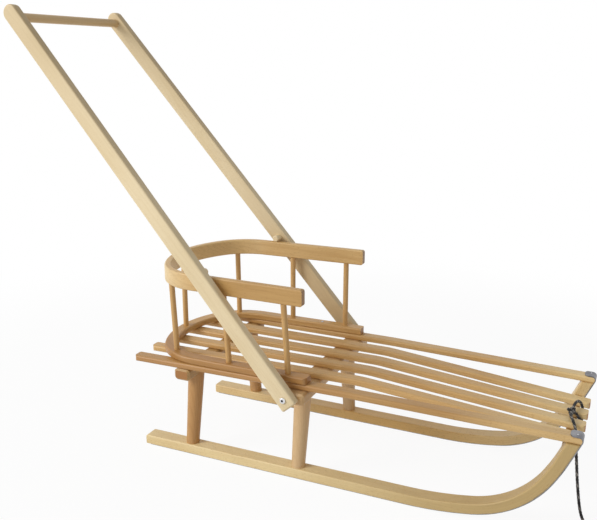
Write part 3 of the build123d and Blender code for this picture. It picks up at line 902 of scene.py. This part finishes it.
for row in poleRows:
    name = "pole wood " + row["side"]
    drift = paintedPoleShade(row["footShare"])
    poleWood = wood(name, straight(poleWay), {**poleLook, **row}, ends=bothEnds(poleWay), drift=drift)
    dress(poleWood, "handle_pole_" + row["side"])
dress(wood("grip wood", straight(crossways), gripLook), "handle_grip")
dress(wood("peg wood", straight(crossways), pegLook), "handle_peg_left", "handle_peg_right")
print("wood finished")

# steel
steelLook = {
    "scratches": (60, 1500),  # noise cells per metre along and across the scratches
    "clouds": 45,
    "cloudEdges": (0.3, 0.75),
    "scratchGloss": 0.16,
    "cloudGloss": 0.10,
    "bump": 0.12,
    "bumpHeight": 0.0001,
}
stripLook = {
    "pale": (150, 150, 153),
    "dark": (114, 114, 118),
    "rough": 0.34,
    "scratched": (1, 0, 1),  # 1 for the ways along the scratches
}
screwFinish = {
    "pale": (205, 205, 208),
    "dark": (160, 160, 165),
    "rough": 0.3,
    "scratched": (0, 0, 0),
}


def steel(name, finish):
    look = steelLook
    shader = Shader(bpy.data.materials.new(name))
    along, across = look["scratches"]
    cells = [along if way else across for way in finish["scratched"]]
    scratch = shader.noise(*[place * count for place, count in zip(shader.place(), cells)], detail=2)
    cloud = shader.evenNoise(look["clouds"], detail=3)
    shade = cloud.ramp(*look["cloudEdges"])
    return shader.surface(
        BaseColor=shader.mix(shade, colour(*finish["pale"]), colour(*finish["dark"])),
        Metallic=1.0,
        Roughness=scratch * look["scratchGloss"] + cloud * look["cloudGloss"] + finish["rough"],
        Normal=shader.bump(look["bump"], look["bumpHeight"], scratch),
    )


stripSteel = steel("strip steel", stripLook)
screwSteel = steel("screw steel", screwFinish)


def pieceFrom(shape, name, material):
    bmesh.ops.recalc_face_normals(shape, faces=shape.faces)
    mesh = bpy.data.meshes.new(name)
    shape.to_mesh(mesh)
    shape.free()
    mesh.materials.append(material)
    piece = placed(name, mesh)
    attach(piece, "sled")
    return piece


def roundHead(look):
    # a low tapered head with a soft rim, round the origin
    shape = bmesh.new()
    bmesh.ops.create_cone(
        shape,
        cap_ends=True,
        segments=look["sides"],
        radius1=look["radius"],
        radius2=look["radius"] * look["crown"],
        depth=look["depth"],
    )
    rim = [edge for edge in shape.edges if all(vertex.co.z > 0 for vertex in edge.verts)]
    bmesh.ops.bevel(
        shape,
        geom=rim,
        offset=look["rimOffset"],
        segments=look["rimSteps"],
        affect="EDGES",
        profile=0.5,
        material=-1,
    )
    return shape


# the strips are cut shorter where they fold back over the slat tips, and each is nailed there
tongueLook = {
    "bend": 0.007,
    "fold": 0.0045,  # depth of the folded part under the strip's top
    "keep": 0.55,
    "merge": 1e-6,
}
nailLook = {
    "back": 0.0105,
    "radius": 0.0017,
    "crown": 0.8,
    "depth": 0.0014,
    "sides": 24,
    "rimOffset": 0.00049,
    "rimSteps": 3,
}
for side in ("left", "right"):
    low, high = corners("runner_shoe_" + side)
    shape = bmesh.new()
    shape.from_mesh(nodes["runner_shoe_" + side].data)
    bmesh.ops.remove_doubles(shape, verts=shape.verts, dist=tongueLook["merge"])
    foldX = high.x - tongueLook["bend"]
    for vertex in shape.verts:
        if vertex.co.z > high.z - tongueLook["fold"] and vertex.co.x < foldX:
            vertex.co.x = between(foldX, vertex.co.x, tongueLook["keep"])
    strip = pieceFrom(shape, "shoeStrip_" + side, stripSteel)
    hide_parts("runner_shoe_" + side)

    shape = roundHead(nailLook)
    nailPlace = Vector((high.x - nailLook["back"], (low.y + high.y) / 2, high.z))
    bmesh.ops.translate(shape, verts=shape.verts, vec=nailPlace)
    pieceFrom(shape, "shoeNail_" + side, screwSteel)

boltLook = {
    "pale": (222, 222, 224),
    # the painted shade in the driving socket
    "socket": (48, 46, 46),
    "socketEdge": (0.0022, 0.0026),
    "specks": 900,
    "speckGloss": 0.14,
    "rough": 0.22,
}


def boltSteel():
    # bright zinc, with painted shade in the driving socket
    look = boltLook
    shader = Shader(bpy.data.materials.new("bolt steel"))
    x, y, z = shader.place()
    dx = x - boltCentre.x
    dz = z - boltCentre.z
    socketShade = 1 - ((dx * dx + dz * dz) ** 0.5).ramp(*look["socketEdge"])
    return shader.surface(
        BaseColor=shader.mix(socketShade, colour(*look["pale"]), colour(*look["socket"])),
        Metallic=1.0,
        Roughness=shader.evenNoise(look["specks"], detail=2) * look["speckGloss"] + look["rough"],
    )


dress(boltSteel(), "pivot_bolt_left", "pivot_bolt_right")

# one round-headed screw through each arm of the lower rail, with a sunk crown
screwLook = {
    "station": 0.302,
    "side": 0.157,
    "radius": 0.0034,
    "crown": 0.9,
    "depth": 0.0009,
    "sides": 28,
    "rimOffset": 0.0003,
    "rimSteps": 2,
    "recess": 0.45,
    "sink": 0.8,
    "stand": 0.4,
}
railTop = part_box("back_lower_hoop")[1][2]
for name, sign in (("right", -1), ("left", 1)):
    shape = roundHead(screwLook)
    crown = max(shape.faces, key=lambda face: (face.calc_center_median().z, face.calc_area()))
    bmesh.ops.inset_region(shape, faces=[crown], thickness=screwLook["radius"] * screwLook["recess"])
    bmesh.ops.translate(shape, verts=crown.verts, vec=(0, 0, -screwLook["depth"] * screwLook["sink"]))
    height = railTop + screwLook["depth"] * screwLook["stand"]
    screwPlace = at(screwLook["station"], sign * screwLook["side"], height)
    bmesh.ops.translate(shape, verts=shape.verts, vec=screwPlace)
    pieceFrom(shape, "railScrew_0_" + name, screwSteel)
print("steel finished")

# light and floor
stageLook = {
    "world": 0.42,
    "key": 205.0,
    "keyPlace": (-3.60, -3.60, 3.40),
    "keyAim": (0, 0, 0.25),
    "keySize": 2.6,
    "floorTone": 0.92,
    "floorSize": 30.0,
    "shadowShare": 0.08,
    "shadowReach": (0.9, 1.8),
}
white = (1, 1, 1, 1)


def shownRays(shader):
    # rays that meet the background: straight, mirrored or through glass
    paths = shader.node("LightPath", {})
    straightOrMirrored = paths["Is Camera Ray"].math("MAXIMUM", paths["Is Glossy Ray"])
    return straightOrMirrored.math("MAXIMUM", paths["Is Transmission Ray"])


def studioWorld():
    world = bpy.data.worlds.new("studio")
    shader = Shader(world)
    seen = shader.node("Background", {}, Color=white, Strength=1.0)
    ambient = shader.node("Background", {}, Color=white, Strength=stageLook["world"])
    mixed = shader.node("MixShader", {}, shownRays(shader), ambient["Background"], seen["Background"])
    shader.node("OutputWorld", {}, Surface=mixed["Shader"])
    return world


def floorMaterial():
    shader = Shader(bpy.data.materials.new("floor"))
    tone = stageLook["floorTone"]
    matt = shader.node("BsdfDiffuse", {}, Color=(tone, tone, tone, 1))
    bright = shader.node("Emission", {}, Color=white, Strength=1.0)
    x, y, z = shader.place()
    near = 1 - ((x * x + y * y) ** 0.5).ramp(*stageLook["shadowReach"])
    share = shownRays(shader) * (1 - near * stageLook["shadowShare"])
    mixed = shader.node("MixShader", {}, share, matt["BSDF"], bright["Emission"])
    shader.node("OutputMaterial", {}, mixed["Shader"])
    return shader.owner


bpy.context.scene.world = studioWorld()
keyData = bpy.data.lights.new("key", "AREA")
keyData.energy = stageLook["key"]
keyData.size = stageLook["keySize"]
key = placed("key", keyData)
key.location = stageLook["keyPlace"]
keyWay = Vector(stageLook["keyAim"]) - Vector(stageLook["keyPlace"])
key.rotation_euler = keyWay.to_track_quat("-Z", "Y").to_euler()

shape = bmesh.new()
bmesh.ops.create_grid(shape, x_segments=1, y_segments=1, size=stageLook["floorSize"])
floorMesh = bpy.data.meshes.new("floor")
shape.to_mesh(floorMesh)
shape.free()
floorMesh.materials.append(floorMaterial())
floor = placed("floor", floorMesh)
bpy.context.scene.view_settings.view_transform = "Standard"
print("stage set")
